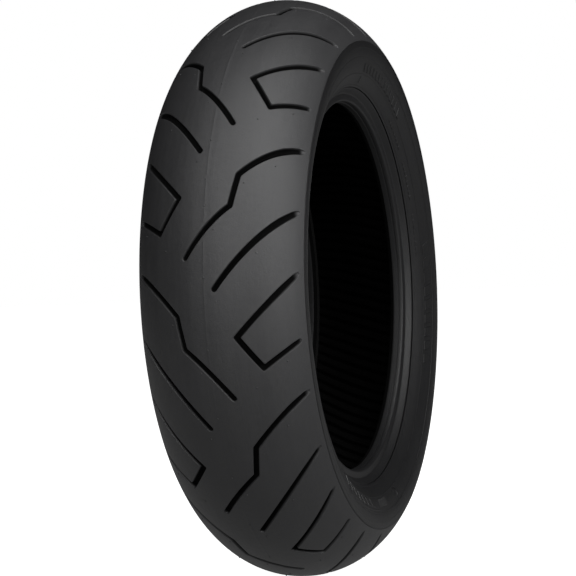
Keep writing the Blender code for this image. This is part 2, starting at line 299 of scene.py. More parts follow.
def groove_side(name, side, level):
    """One side of a groove at one level, from its first end to its last: points and heights."""
    legs = GROOVES[name]
    turns = [turn_between(a, b) for a, b in zip(legs, legs[1:])]
    points, heights = [], []
    for number, leg in enumerate(legs):
        first, last = number == 0, number == len(legs) - 1
        start_offset, _ = groove_levels(name, number)[level]
        end_offset, _ = groove_levels(name, number + 1)[level]
        length = leg_length(leg)
        trim_start = 0.0 if first else side * start_offset * math.tan(turns[number - 1] / 2) / length
        trim_end = 0.0 if last else side * end_offset * math.tan(turns[number] / 2) / length
        for place in leg_places(name, number, leg, first, last):
            offset, height = groove_levels(name, number + place)[level]
            t = trim_start + (1 - trim_end - trim_start) * place
            ahead = leg_heading(leg, t)
            points.append(moved(leg_point(leg, t), (-side * ahead[1], side * ahead[0]), offset))
            heights.append(height)
        if last:
            break
        # A rounded corner between this leg and the next
        after = legs[number + 1]
        turn = turns[number]
        ahead, following = leg_heading(leg, 1), leg_heading(after, 0)
        bisector = np.array([-(ahead[1] + following[1]), ahead[0] + following[0]])
        bisector *= side / math.hypot(*bisector)
        corner = moved(leg_point(leg, 1), bisector, end_offset / math.cos(turn / 2))
        share = INNER_ROUND if side * turn > 0 else 1.0
        reach = CORNER_ROUND[name] * share * MM
        begin = moved(corner, ahead, -reach)
        end = moved(corner, following, reach)
        _, height = groove_levels(name, number + 1)[level]
        for blend in (0.0, 0.33, 0.67, 1.0):
            curve = (1 - blend) ** 2 * begin + 2 * blend * (1 - blend) * corner + blend ** 2 * end
            points.append(curve)
            heights.append(height)
    return points, heights


def groove_cap(name, at_end, level):
    """The round end of a groove at one level, from one side to the other."""
    legs = GROOVES[name]
    leg = legs[-1] if at_end else legs[0]
    place = len(legs) if at_end else 0
    offset, height = groove_levels(name, place)[level]
    length = leg_length(leg)
    t = 1.0 - table(WIDTHS[name], place) / 2 / length if at_end else 0.0
    centre, ahead = leg_point(leg, t), leg_heading(leg, t)
    if not at_end:
        ahead = -ahead
    left = np.array([-ahead[1], ahead[0]])
    points = []
    for i in range(1, CAP_STEPS):
        angle = math.pi / 2 - math.pi * i / CAP_STEPS
        points.append(moved(centre, ahead * math.cos(angle) + left * math.sin(angle), offset))
    return points, [height] * len(points)


def groove_rings(name):
    """The groove's nested loops, one for each level, each as points and heights."""
    rings = []
    for level in range(len(EDGE_LEVELS) + len(WALL_LEVELS)):
        left, left_heights = groove_side(name, 1, level)
        right, right_heights = groove_side(name, -1, level)
        end, end_heights = groove_cap(name, True, level)
        start, start_heights = groove_cap(name, False, level)
        points = left + end + right[::-1] + start
        heights = left_heights + end_heights + right_heights[::-1] + start_heights
        rings.append((np.array(points), np.array(heights)))
    return rings, len(left)


def ring_strip(outer, inner):
    """Quads between two closed loops of point numbers."""
    shifted = zip(outer, outer[1:] + outer[:1], inner[1:] + inner[:1], inner)
    return list(shifted)


def fill_floor(ring, side_count):
    """Faces over a groove's floor: its two sides are paired, and its round ends folded."""
    cap_count = CAP_STEPS - 1
    left = ring[:side_count]
    end = ring[side_count:side_count + cap_count]
    right = ring[side_count + cap_count:2 * side_count + cap_count][::-1]
    start = ring[2 * side_count + cap_count:]
    faces = []
    for i in range(side_count - 1):
        faces.append((left[i], left[i + 1], right[i + 1], right[i]))
    for near, far, cap in ((left[-1], right[-1], end), (right[0], left[0], start)):
        row = [near] + cap + [far]
        low, high = 0, len(row) - 1
        while high - low > 2:
            faces.append((row[low], row[low + 1], row[high - 1], row[high]))
            low, high = low + 1, high - 1
        if high - low == 2:
            faces.append((row[low], row[low + 1], row[high]))
    return faces


def seam_line():
    """Points along the line where one pitch meets the next."""
    line = []
    for (s0, angle0), (s1, angle1) in zip(SEAM, SEAM[1:]):
        steps = max(1, round(abs(s1 - s0) * MM / ROW_STEP))
        for i in range(steps):
            line.append((s0 + (s1 - s0) * i / steps, angle0 + (angle1 - angle0) * i / steps))
    line.append(SEAM[-1])
    flat = np.array(line) * [MM, DEG * OUTER_RADIUS]
    flat[0, 0], flat[-1, 0] = -SHOULDER, SHOULDER
    return flat


def tread_pitch():
    """One pitch of the tread on the flat: points, heights, faces and its border's index lists."""
    sheet = Sheet()
    width = PITCH * OUTER_RADIUS
    ahead = seam_line()
    behind = ahead - [0, width]
    count = len(ahead)
    shoulder_steps = np.arange(1, ROUND_STEPS) / ROUND_STEPS * width
    bottom = sheet.add(behind, 0.0)
    right = sheet.add([(SHOULDER, behind[-1, 1] + v) for v in shoulder_steps], 0.0)
    top = sheet.add(ahead, 0.0)
    left = sheet.add([(-SHOULDER, behind[0, 1] + v) for v in shoulder_steps], 0.0)
    border = bottom + right + top[::-1] + left[::-1]
    sheet.edges += list(zip(border, border[1:] + border[:1]))
    border_flat = np.array([sheet.points[i] for i in border])

    faces, holes = [], []
    for name in GROOVES:
        rings, side_count = groove_rings(name)
        for side in (-1, 1):
            placed = []
            for points, heights in rings:
                flat = points.copy()
                if side > 0:
                    flat[:, 0] *= -1
                    flat[:, 1] += width / 2
                middle = flat[:, 1].mean()
                limit = np.interp(flat[:, 0].mean(), ahead[:, 0], ahead[:, 1])
                if middle > limit:
                    flat[:, 1] -= width
                placed.append((flat, heights))
            index = [sheet.add_loop(*placed[0])]
            index += [sheet.add(flat, heights) for flat, heights in placed[1:]]
            holes.append(placed[0][0])
            made = []
            for outer, inner in zip(index, index[1:]):
                made += ring_strip(outer, inner)
            made += fill_floor(index[-1], side_count)
            faces += made if side < 0 else [face[::-1] for face in made]

    taken = np.concatenate(holes + [border_flat])
    stubs = [(0.0, FIRST_CENTRE_STUB + k * 360 / PITCHES / CENTRE_STUBS) for k in range(CENTRE_STUBS)]
    stubs += VENT_STUBS + [(-s, angle + 180 / PITCHES) for s, angle in VENT_STUBS]
    stubs = np.array(stubs) * [MM, DEG * OUTER_RADIUS]
    turn = np.arange(STUB_CORNERS) * FULL_TURN / STUB_CORNERS
    around = np.stack([np.cos(turn), np.sin(turn)], axis=-1) * STUB_RADIUS
    for centre in stubs:
        low = np.interp(centre[0], behind[:, 0], behind[:, 1])
        centre[1] = low + (centre[1] - low) % width
        for share, height in STUB_LEVELS:
            sheet.add_loop(centre + around * share, height * STUB_HEIGHT)

    def fill(points, height, clearance):
        points = np.array(points)
        keep = inside(points, border_flat)
        for hole in holes:
            keep &= ~inside(points, hole)
        points = points[keep]
        points = points[gap_to(points, taken) > clearance]
        points = points[gap_to(points, stubs) > STUB_RADIUS + STUB_GAP]
        sheet.add(points, height)

    angle_step = width / ROUND_STEPS
    low, high = behind[:, 1].min(), ahead[:, 1].max()
    columns = np.arange(low, high, angle_step)
    rows = int(SHOULDER / ROW_STEP)
    for row in range(-rows, rows + 1):
        s = row * SHOULDER / (rows + 0.5)
        if row == 0:
            continue
        shift = angle_step / 2 * (row % 2)
        fill([(s, v + shift) for v in columns], 0.0, EDGE_GAP)
    for s, height in PARTING_ROWS:
        fill([(s * MM, v) for v in columns], height * MM, PARTING_GAP)
    faces += sheet.triangles(border_flat, holes)
    return np.array(sheet.points), np.array(sheet.heights), faces, bottom, top, left, right


def build_tread():
    flat, heights, faces, bottom, top, left, right = tread_pitch()
    count = len(flat)
    renamed = np.full(count, -1)
    kept = np.setdiff1d(np.arange(count), bottom)
    renamed[kept] = np.arange(len(kept))
    points, all_faces = [], []
    per_pitch = len(kept)

    def index(pitch, i):
        if renamed[i] < 0:
            pitch, i = (pitch - 1) % PITCHES, top[bottom.index(i)]
        return pitch * per_pitch + int(renamed[i])

    for pitch in range(PITCHES):
        angles = flat[kept, 1] / OUTER_RADIUS + pitch * PITCH
        points.append(crown_point(flat[kept, 0], angles, heights[kept]))
        all_faces += [[index(pitch, i) for i in face] for face in faces]
    outer = np.concatenate(points)
    edges = []
    for corner, side in ((0, left), (-1, right)):
        edge = []
        for pitch in range(PITCHES):
            edge += [index(pitch, bottom[corner])] + [index(pitch, i) for i in side]
        edges.append(edge)

    # Inner face, from shoulder to shoulder, on the same steps round the wheel
    around = len(edges[0])
    first_angle = flat[bottom[0], 1] / OUTER_RADIUS
    angles = first_angle + np.arange(around) * FULL_TURN / around
    inner = []
    for row in range(INNER_ROWS + 1):
        s = SHOULDER * (2 * row / INNER_ROWS - 1)
        inner.append(crown_point(np.full(around, s), angles, -CAP_THICKNESS))
    base = len(outer)
    for row in range(INNER_ROWS):
        all_faces += ring_faces(base + row * around, base + (row + 1) * around, around)
    last = base + INNER_ROWS * around
    for edge, start, forward in ((edges[0], base, True), (edges[1], last, False)):
        for k in range(around):
            m = (k + 1) % around
            quad = (edge[k], start + k, start + m, edge[m])
            all_faces.append(quad if forward else quad[::-1])
    piece = mesh_object("tread", np.concatenate([outer] + inner), all_faces, 34.0)
    fix_normals(piece)
    return piece


def fix_normals(piece):
    """Turn every face of a closed body to point out."""
    work = bmesh.new()
    work.from_mesh(piece.data)
    bmesh.ops.recalc_face_normals(work, faces=work.faces)
    work.to_mesh(piece.data)
    work.free()


# Sections

def cad_section(name):
    """The section of one of the frame's rings, counter-clockwise, drawn for the right side."""
    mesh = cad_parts[name].data
    side = -1 if name.endswith("_left") else 1
    corners = {}
    for vertex in mesh.vertices:
        x, y, z = vertex.co
        if x > 0 and abs(z) < 1e-6:
            corners[vertex.index] = (round(side * y, 6), round(x, 6))
    links = {corner: set() for corner in corners.values()}
    for edge in mesh.edges:
        a, b = (corners.get(v) for v in edge.vertices)
        if a and b and a != b:
            links[a].add(b)
            links[b].add(a)
    loop = [max(links, key=lambda corner: (corner[1], corner[0]))]
    following = next(iter(sorted(links[loop[0]])))
    while following != loop[0]:
        loop.append(following)
        following = next(c for c in sorted(links[loop[-1]]) if c != loop[-2])
    if signed_area(loop) < 0:
        loop = loop[:1] + loop[:0:-1]
    return loop


SMOOTH_TURN = 46.0  # degrees; a corner that turns more stays sharp


def eased(section, steps=5):
    """A closed section with its gentle corners made into curves. Sharp corners stay."""
    points = np.array(section)
    count = len(points)
    before = points - np.roll(points, 1, axis=0)
    after = np.roll(points, -1, axis=0) - points
    cross = before[:, 0] * after[:, 1] - before[:, 1] * after[:, 0]
    turn = np.abs(np.arctan2(cross, (before * after).sum(axis=1))) / DEG
    made = []
    for i in range(count):
        k = (i + 1) % count
        length = math.hypot(*after[i])
        made.append(tuple(points[i]))
        if min(turn[i], turn[k]) > SMOOTH_TURN or max(turn[i], turn[k]) < 1.0:
            continue
        ways = []
        for corner in (i, k):
            into = before[corner] / math.hypot(*before[corner])
            way = into + after[corner] / math.hypot(*after[corner])
            ways.append(None if turn[corner] > SMOOTH_TURN else way / math.hypot(*way))
        straight = after[i] / length
        for number, other in ((0, 1), (1, 0)):
            if ways[number] is None:
                ways[number] = 2 * np.dot(ways[other], straight) * straight - ways[other]
        for step in range(1, steps):
            t = step / steps
            point = (2 * t ** 3 - 3 * t ** 2 + 1) * points[i] + (3 * t ** 2 - 2 * t ** 3) * points[k]
            point += length * ((t ** 3 - 2 * t ** 2 + t) * ways[0] + (t ** 3 - t ** 2) * ways[1])
            made.append(tuple(point))
    return made


def run_between(section, first, last):
    """The points of a closed section from the one nearest first on to the one nearest last."""
    def nearest(end):
        return min(range(len(section)), key=lambda n: math.dist(section[n], end))

    i, k = nearest(first), nearest(last)
    return section[i:k + 1] if i <= k else section[i:] + section[:k + 1]


def ring_piece(name, section, steps=TURN_STEPS, sharp_angle=32.0):
    side = -1 if name.endswith("_left") else 1
    points, faces = turned([(side * y, r) for y, r in section], steps)
    return mesh_object(name, points, faces, sharp_angle)


# Sidewalls

SIDE_RADIUS = 240.0 * MM  # radius at which a sidewall's v is measured
SIDE_STEPS = 504
SIDE_ROW = 3.0 * MM
SIDE_SEAM = -60.0  # angle where the flat sheet is joined up
SIDE_PROFILE = [(87.75, 268.95), (88.1, 266.8), (88.1, 263.5), (87.2, 257.0), (85.5, 251.0),
                (82.9, 243.0), (79.5, 235.0), (75.1, 227.6), (69.68, 220.03)]  # y and r, mm
SIDE_RIDGES = [(268.263, 0.25, 0.18), (262.2, 0.5, 0.12), (251.6, 0.6, 0.3), (234.2, 0.5, 0.25),
               (222.4, 0.5, 0.2)]  # radius, width and height, mm
MARK_STEP = 1.5 * MM  # the marks' outlines are measured at these steps
MARK_GAP = 1.0 * MM  # least gap from the grid to a mark or a ridge
MARK_HEIGHT = 0.8 * MM
MARK_BEVEL = 0.5 * MM
DEGREE_LENGTH = 4.19  # millimetres round the marks for one degree
BAR_ROWS = [  # start and stop angle, radii, width and gap in degrees
    (50.0, 86.0, 237.0, 245.5, 1.5, 1.3),
    (-28.0, 9.0, 236.5, 247.5, 2.6, 1.4),
    (233.0, 258.0, 236.5, 245.0, 2.4, 1.3),
]
SERRATIONS = 9
RIM_TICK_ROWS = (4.0, 22.0, 40.0, 150.0, 168.0)  # angles where the rows of ticks by the rim start
RIM_TICKS = 8


def curve_through(points, steps=12):
    """A smooth open line through the points."""
    points = np.array(points)
    padded = np.concatenate([[2 * points[0] - points[1]], points, [2 * points[-1] - points[-2]]])
    line = []
    for i in range(1, len(padded) - 2):
        a, b, c, d = padded[i - 1:i + 3]
        for step in range(steps):
            t = step / steps
            bend = (2 * a - 5 * b + 4 * c - d) * t ** 2 + (3 * b - a - 3 * c + d) * t ** 3
            line.append(0.5 * (2 * b + (c - a) * t + bend))
    line.append(points[-1])
    return np.array(line)


class SideProfile:
    """The outer line of a sidewall, measured from the shoulder down."""

    def __init__(self):
        self.line = curve_through(SIDE_PROFILE) * MM
        steps = np.hypot(*np.diff(self.line, axis=0).T)
        self.reach = np.concatenate([[0], np.cumsum(steps)])
        ahead = np.gradient(self.line, axis=0)
        ahead /= np.hypot(ahead[:, 0], ahead[:, 1])[:, None]
        self.normal = np.stack([-ahead[:, 1], ahead[:, 0]], axis=-1)
        self.length = self.reach[-1]

    def u_at(self, radius):
        """Distance from the shoulder of a radius in millimetres."""
        return float(np.interp(-radius * MM, -self.line[:, 1], self.reach))

    def wrap(self, u, angle, height):
        y, r = (np.interp(u, self.reach, self.line[:, k])
                + height * np.interp(u, self.reach, self.normal[:, k]) for k in (0, 1))
        return on_wheel(y, r, angle)


def slanted_bar(low, high, start, width, slant):
    """A bar between two radii in millimetres, whose angles are in degrees."""
    return [(low, start), (low, start + width), (high, start + width + slant), (high, start + slant)]


def band(low, high, start, stop):
    """A long thin bar round the tyre."""
    angles = np.linspace(start, stop, round(stop - start) + 1)
    return [(low, angle) for angle in angles] + [(high, angle) for angle in angles[::-1]]


def open_ring(radius, angle, outer, inner, start, stop):
    """Part of a ring round a point of the sidewall, between two directions in degrees."""
    directions = np.linspace(start, stop, 10) * DEG
    line = []
    for reach, turns in ((outer, directions), (inner, directions[::-1])):
        for t in turns:
            line.append((radius + reach * math.sin(t), angle + reach * math.cos(t) / DEGREE_LENGTH))
    return line


def side_marks():
    """Outlines of the generic marks as (radius, angle) corners, each with its height and bevel."""
    marks = []
    for start, stop, low, high, width, gap in BAR_ROWS:
        angle = start
        while angle + width < stop:
            marks.append((slanted_bar(low, high, angle, width, 0.9), MARK_HEIGHT, MARK_BEVEL))
            angle += width + gap
    marks.append((band(247.4, 248.8, 236.0, 262.0), MARK_HEIGHT / 2, MARK_BEVEL))
    for i in range(SERRATIONS):
        outline = slanted_bar(237.0, 245.5, 263.5 + 0.8 * i, 0.35, 0.0)
        marks.append((outline, MARK_HEIGHT / 4, MARK_BEVEL / 2))
    marks.append((open_ring(242.0, 279.5, 5.4, 3.8, -150.0, 100.0), -1.5 * MARK_HEIGHT, MARK_BEVEL))
    marks.append((slanted_bar(225.0, 231.5, 84.6, 0.7, 0.0), MARK_HEIGHT, MARK_BEVEL))
    for start in RIM_TICK_ROWS:
        for i in range(RIM_TICKS):
            outline = slanted_bar(226.6, 228.6, start + 1.7 * i, 1.1, 0.2)
            marks.append((outline, MARK_HEIGHT / 2, MARK_BEVEL / 2))
    return marks


def narrowed(loop, distance):
    """The loop with every side moved in by the distance."""
    loop = np.array(loop)
    if signed_area(loop.tolist()) < 0:
        loop = loop[::-1]
    before = loop - np.roll(loop, 1, axis=0)
    after = np.roll(loop, -1, axis=0) - loop
    before /= np.hypot(before[:, 0], before[:, 1])[:, None]
    after /= np.hypot(after[:, 0], after[:, 1])[:, None]
    normal_a = np.stack([-before[:, 1], before[:, 0]], axis=-1)
    normal_b = np.stack([-after[:, 1], after[:, 0]], axis=-1)
    reach = distance / (1 + (normal_a * normal_b).sum(axis=1))
    return loop, loop + (normal_a + normal_b) * reach[:, None]


def build_sidewall(name, profile):
    sheet = Sheet()
    turn = FULL_TURN * SIDE_RADIUS
    start = SIDE_SEAM * DEG * SIDE_RADIUS
    columns = start + np.arange(SIDE_STEPS + 1) * turn / SIDE_STEPS
    rows = np.linspace(0, profile.length, round(profile.length / SIDE_ROW) + 1)
    top = sheet.add([(0.0, v) for v in columns], 0.0)
    bottom = sheet.add([(profile.length, v) for v in columns], 0.0)
    near = sheet.add([(u, columns[0]) for u in rows[1:-1]], 0.0)
    far = sheet.add([(u, columns[-1]) for u in rows[1:-1]], 0.0)
    border = top + far + bottom[::-1] + near[::-1]
    sheet.edges += list(zip(border, border[1:] + border[:1]))
    border_flat = np.array([sheet.points[i] for i in border])

    tops, taken = [], []
    for outline, height, bevel in side_marks():
        loop = [(profile.u_at(r), ((angle - SIDE_SEAM) % 360 + SIDE_SEAM) * DEG * SIDE_RADIUS)
                for r, angle in outline]
        base, crest = narrowed(loop, bevel / 2)
        _, wide = narrowed(loop, -bevel / 2)
        sheet.add_loop(wide, 0.0)
        sheet.add_loop(crest, height)
        tops.append((wide, crest, height))
        for a, b in zip(wide, np.roll(wide, -1, axis=0)):
            pieces = max(1, round(math.dist(a, b) / MARK_STEP))
            taken += [a + (b - a) * i / pieces for i in range(pieces)]
    taken = np.array(taken)

    ridge_rows = []
    for radius, width, height in SIDE_RIDGES:
        u = profile.u_at(radius)
        for share, rise in ((-1 / 2, 0.0), (-1 / 6, height), (1 / 6, height), (1 / 2, 0.0)):
            ridge_rows.append((u + width * share * MM, rise * MM))
    plain_rows = [u for u in rows[1:-1] if all(abs(u - ridge) > MARK_GAP for ridge, _ in ridge_rows)]
    for u, height in sorted([(u, 0.0) for u in plain_rows] + ridge_rows):
        points = np.array([(u, v) for v in columns[1:-1]])
        clear = gap_to(points, taken) > MARK_GAP
        heights = np.full(len(points), height)
        for wide, crest, mark_height in tops:
            within = inside(points, wide)
            heights[within] = mark_height
            clear &= ~within | inside(points, crest)
        sheet.add(points[clear], heights[clear])
    faces = sheet.triangles(border_flat)
    flat, heights = np.array(sheet.points), np.array(sheet.heights)

    # Join the far edge to the near one
    renamed = np.arange(len(flat))
    renamed[far] = near
    renamed[top[-1]], renamed[bottom[-1]] = top[0], bottom[0]
    faces = [[int(renamed[i]) for i in face] for face in faces]
    outer = profile.wrap(flat[:, 0], flat[:, 1] / SIDE_RADIUS, heights)

    corners = cad_section(name)
    lowest = min(corners, key=lambda corner: corner[1])
    angles = columns[:-1] / SIDE_RADIUS
    points, edges, count = [outer], [top[:-1]], len(outer)
    for y, r in run_between(eased(corners), corners[0], lowest)[1:-1]:
        points.append(on_wheel(y, r, angles))
        edges.append(list(range(count, count + len(angles))))
        count += len(angles)
    edges.append(bottom[:-1])
    for upper, lower in zip(edges, edges[1:]):
        faces += ring_strip(upper, lower)
    return closed_piece(name, np.concatenate(points), faces)


def closed_piece(name, points, faces, sharp_angle=32.0):
    """A piece drawn for the right side, mirrored if it belongs to the left one."""
    used = np.unique(np.concatenate([np.asarray(face) for face in faces]))
    renamed = {int(i): k for k, i in enumerate(used)}
    points = points[used]
    if name.endswith("_left"):
        points = points * [1, -1, 1]
    piece = mesh_object(name, points, [[renamed[int(i)] for i in face] for face in faces], sharp_angle)
    fix_normals(piece)
    return piece


# Rim cushions

CUSHION_STEPS = 504
CUSHION_FACE = [  # y and r from the rim line to the toe, mm
    (68.16, 220.72), (68.6, 219.2), (68.3, 218.55), (67.5, 217.9), (66.3, 216.95), (64.9, 215.85),
    (63.6, 214.9), (62.6, 214.2), (62.0, 213.6), (61.68, 212.8), (61.6, 212.0), (61.6, 206.9),
    (61.5, 206.1), (61.15, 205.35), (60.6, 204.8), (59.9, 204.42), (59.0, 204.2), (57.5, 203.95),
    (57.1, 204.35), (55.6, 204.2), (55.2, 203.6), (52.0, 203.2), (50.7, 203.1), (50.3, 203.2),
    (48.2, 203.9), (46.6, 204.55),
]


def build_cushion(name):
    corners = cad_section(name)
    top, toe = corners[0], corners[4]
    face = [(y * MM, r * MM) for y, r in CUSHION_FACE]
    return ring_piece(name, face + run_between(eased(corners), top, toe)[::-1], CUSHION_STEPS, 30.0)


# Inner liner

RIB_COUNT = 146
RIB_SHAPE = [(0.0, 0.0), (0.9, 0.8), (4.8, 0.8), (8.7, 0.8), (9.6, 0.0)]  # mm round it, height
RIB_SLOPE = 0.3  # distance round the wheel for one across it
RIB_RADIUS = 300.0 * MM
RIB_FADE = (214.0 * MM, 232.0 * MM)  # radii between which the ribs rise
LINER_END = 45.98 * MM  # y of the liner's edge on each side


def build_liner(name):
    corners = cad_section(name)
    ends = [c for c in corners if abs(abs(c[0]) - LINER_END) < 0.1 * MM]
    first, last = min(ends), max(ends)
    hidden = run_between(eased(corners, 2), last, first)[1:-1]
    shown = run_between(eased(corners, 4), first, last)
    section = np.array(shown + hidden)
    ahead = np.gradient(np.array(shown), axis=0)
    ahead /= np.hypot(ahead[:, 0], ahead[:, 1])[:, None]
    inward = np.zeros_like(section)
    inward[:len(shown), 0], inward[:len(shown), 1] = ahead[:, 1], -ahead[:, 0]
    low, high = RIB_FADE
    rise = np.clip((section[:, 1] - low) / (high - low), 0, 1)
    shift = RIB_SLOPE * section[:, 0] / RIB_RADIUS
    count, points = len(section), []
    for rib in range(RIB_COUNT):
        for along, height in RIB_SHAPE:
            angle = FULL_TURN * rib / RIB_COUNT + along * MM / RIB_RADIUS + shift
            y, r = (section + inward * (rise * height * MM)[:, None]).T
            points.append(on_wheel(y, r, angle))
    faces = []
    for i in range(len(points)):
        faces += ring_faces(i * count, (i + 1) % len(points) * count, count)
    return closed_piece(name, np.concatenate(points), faces, 50.0)


# Bead cores: wires wound side by side

WIRE_COLUMNS, WIRE_ROWS = 3, 4
CORE_OUTLINE_STEPS = 72
CORE_STEPS = 180


def build_bead_core(name):
    corners = cad_section(name)
    (y0, r0), (y1, r1) = np.min(corners, axis=0), np.max(corners, axis=0)
    pitch_y, pitch_r = (y1 - y0) / WIRE_COLUMNS, (r1 - r0) / WIRE_ROWS
    wire = min(pitch_y, pitch_r) / 2
    centre = np.array([(y0 + y1) / 2, (r0 + r1) / 2])
    wires = [(y0 + (i + 0.5) * pitch_y - centre[0], r0 + (k + 0.5) * pitch_r - centre[1])
             for i in range(WIRE_COLUMNS) for k in range(WIRE_ROWS)]
    outline = []
    for step in range(CORE_OUTLINE_STEPS):
        angle = FULL_TURN * (step + 0.5) / CORE_OUTLINE_STEPS
        ray = np.array([math.cos(angle), math.sin(angle)])
        reach = 0.0
        for place in wires:
            along = np.dot(place, ray)
            off = wire ** 2 - (np.dot(place, place) - along ** 2)
            if off > 0:
                reach = max(reach, along + math.sqrt(off))
        outline.append(tuple(centre + ray * reach))
    return ring_piece(name, outline, CORE_STEPS, 40.0)


# Node materials

def new_material(name):
    """A material, its empty node tree, and the place on the object as a socket."""
    material = bpy.data.materials.new(name)
    material.use_nodes = True
    tree = material.node_tree
    tree.nodes.clear()
    return material, tree, node(tree, "ShaderNodeTexCoord").outputs["Object"]


def node(tree, kind, inputs=None, **settings):
    made = tree.nodes.new(kind)
    for key, value in settings.items():
        setattr(made, key, value)
    for key, value in (inputs or {}).items():
        if isinstance(value, bpy.types.NodeSocket):
            tree.links.new(value, made.inputs[key])
        else:
            made.inputs[key].default_value = value
    return made


def calc(tree, operation, *values):
    """The result of a math node."""
    return node(tree, "ShaderNodeMath", dict(enumerate(values)), operation=operation).outputs["Value"]


def axes(tree, place):
    return node(tree, "ShaderNodeSeparateXYZ", {"Vector": place}).outputs


def noise(tree, place, scale, detail=4.0, rough=0.5):
    settings = {"Vector": place, "Scale": scale, "Detail": detail, "Roughness": rough}
    return node(tree, "ShaderNodeTexNoise", settings).outputs["Fac"]


def streak_noise(tree, place, across, round_it, detail, rough):
    """Noise drawn out round the tyre, with its two scales across the tyre and round it."""
    scale = (round_it, across, round_it)
    drawn = node(tree, "ShaderNodeVectorMath", {0: place, 1: scale}, operation="MULTIPLY")
    return noise(tree, drawn.outputs["Vector"], 1.0, detail, rough)


def spread(tree, value, low, high):
    """A value from 0 to 1 mapped to the range from low to high."""
    ends = {"Value": value, "To Min": low, "To Max": high}
    return node(tree, "ShaderNodeMapRange", ends).outputs["Result"]


def between(tree, value, low, high, interpolation="LINEAR"):
    """A value mapped to the range from 0, where it is low, to 1, where it is high."""
    ends = {"Value": value, "From Min": low, "From Max": high}
    return node(tree, "ShaderNodeMapRange", ends, interpolation_type=interpolation).outputs["Result"]


def ramp(tree, value, stops):
    made = node(tree, "ShaderNodeValToRGB", {"Fac": value})
    elements = made.color_ramp.elements
    while len(elements) < len(stops):
        elements.new(0.5)
    for element, (place, colour) in zip(elements, stops):
        element.position = place
        element.color = (*colour, 1.0)
    return made.outputs["Color"]


def added(tree, *values):
    total = values[0]
    for value in values[1:]:
        total = calc(tree, "ADD", total, value)
    return total


def scaled(tree, value, factor):
    return calc(tree, "MULTIPLY", value, factor)


def blended(tree, *pairs):
    """The sum of the values, each times its share."""
    return added(tree, *(scaled(tree, value, share) for value, share in pairs))


def mixed_colour(tree, share, first, second):
    made = node(tree, "ShaderNodeMix", {0: share, 6: first, 7: (*second, 1.0)}, data_type="RGBA")
    return made.outputs[2]


def surface(tree, height, distance, strength, inputs):
    """The material's shader, with a bump of the given height."""
    bump = node(tree, "ShaderNodeBump", {"Height": height, "Distance": distance, "Strength": strength})
    shader = node(tree, "ShaderNodeBsdfPrincipled", {**inputs, "Normal": bump.outputs["Normal"]})
    node(tree, "ShaderNodeOutputMaterial", {"Surface": shader.outputs["BSDF"]})


def hypotenuse(tree, a, b):
    return calc(tree, "SQRT", added(tree, scaled(tree, a, a), scaled(tree, b, b)))


def groove_painted_shade(tree, place):
    """Painted shade in the grooves: from 0 on the tread's surface to 1 deep in a groove."""
    x, y, z = axes(tree, place)
    rise = calc(tree, "SUBTRACT", hypotenuse(tree, x, z), CROWN_CENTRE)
    low, high = PAINTED_SHADE_DEPTHS
    return between(tree, hypotenuse(tree, rise, y), CROWN_RADIUS - low, CROWN_RADIUS - high, "SMOOTHSTEP")


def rib_painted_shade(tree, place):
    """Painted shade between the inner liner's ribs: from 0 on the ribs to 1 between them."""
    x, y, z = axes(tree, place)
    along = added(tree, scaled(tree, calc(tree, "ARCTAN2", z, x), float(RIB_COUNT)),
                  scaled(tree, y, -RIB_COUNT * RIB_SLOPE / RIB_RADIUS))
    past = added(tree, along, -RIB_COUNT * RIB_SHAPE[2][0] * MM / RIB_RADIUS)
    return between(tree, calc(tree, "COSINE", past), -0.3, -0.65)


def toe_painted_shade(tree, place):
    """Painted shade at the bead toes: from 0 on a bead's seat to 1 at its toe."""
    low, high = TOE_PAINTED_SHADE_ACROSS
    return between(tree, calc(tree, "ABSOLUTE", axes(tree, place)["Y"]), low, high)


def rubber(name, dark, light, rough_low, rough_high, grain, streaks, specular=0.5, painted_shade_of=None):
    """Moulded black rubber: mottled, finely grained, with faint streaks round the tyre."""
    material, tree, place = new_material(name)
    clouds = noise(tree, place, 9.0, 5.0, 0.6)
    mottle = noise(tree, place, 140.0, 4.0, 0.65)
    fine = noise(tree, place, 2400.0, 2.0, 0.5)
    lines = streak_noise(tree, place, 260.0, 5.0, 5.0, 0.6)
    bands = streak_noise(tree, place, 60.0, 2.5, 4.0, 0.55)
    shade = blended(tree, (clouds, 0.3), (mottle, 0.2), (lines, 0.2), (bands, 0.3))
    colour = ramp(tree, shade, [(0.36, dark), (0.64, light)])
    wear = blended(tree, (mottle, 0.3), (lines, 0.3), (bands, 0.4))
    rough = spread(tree, wear, rough_low, rough_high)
    shine = specular
    # Painted shade: the mask turns the colour near black and takes away most of the shine
    if painted_shade_of:
        deep = painted_shade_of(tree, place)
        shine = spread(tree, deep, specular, specular * PAINTED_SHADE_SHINE)
        colour = mixed_colour(tree, deep, colour, PAINTED_SHADE_COLOUR)
        rough = added(tree, rough, scaled(tree, deep, DEEP_ROUGHNESS))
    height = blended(tree, (fine, grain), (mottle, grain * 1.6), (lines, streaks))
    surface(tree, height, 0.4 * MM, 0.5,
            {"Base Color": colour, "Roughness": rough, "Specular IOR Level": shine})
    return material


def cord_fabric(name, rubber_colour, cord_colour, spacing, slope, rough=0.7, specular=0.35):
    """Rubber over parallel cords that show as fine ribs, laid at a slope across the tyre."""
    material, tree, place = new_material(name)
    x, y, z = axes(tree, place)
    along = added(tree, calc(tree, "ARCTAN2", z, x), scaled(tree, y, slope / OUTER_RADIUS))
    turns = round(FULL_TURN * OUTER_RADIUS / spacing)
    cord = between(tree, calc(tree, "COSINE", scaled(tree, along, float(turns))), -1.0, 1.0)
    mottle = noise(tree, place, 300.0, 4.0, 0.6)
    shade = blended(tree, (cord, 0.7), (mottle, 0.3))
    colour = ramp(tree, shade, [(0.25, rubber_colour), (0.8, cord_colour)])
    surface(tree, added(tree, cord, scaled(tree, mottle, 0.4)), 0.3 * MM, 0.8, {
        "Base Color": colour, "Roughness": spread(tree, mottle, rough - 0.1, rough + 0.1),
        "Specular IOR Level": specular})
    return material


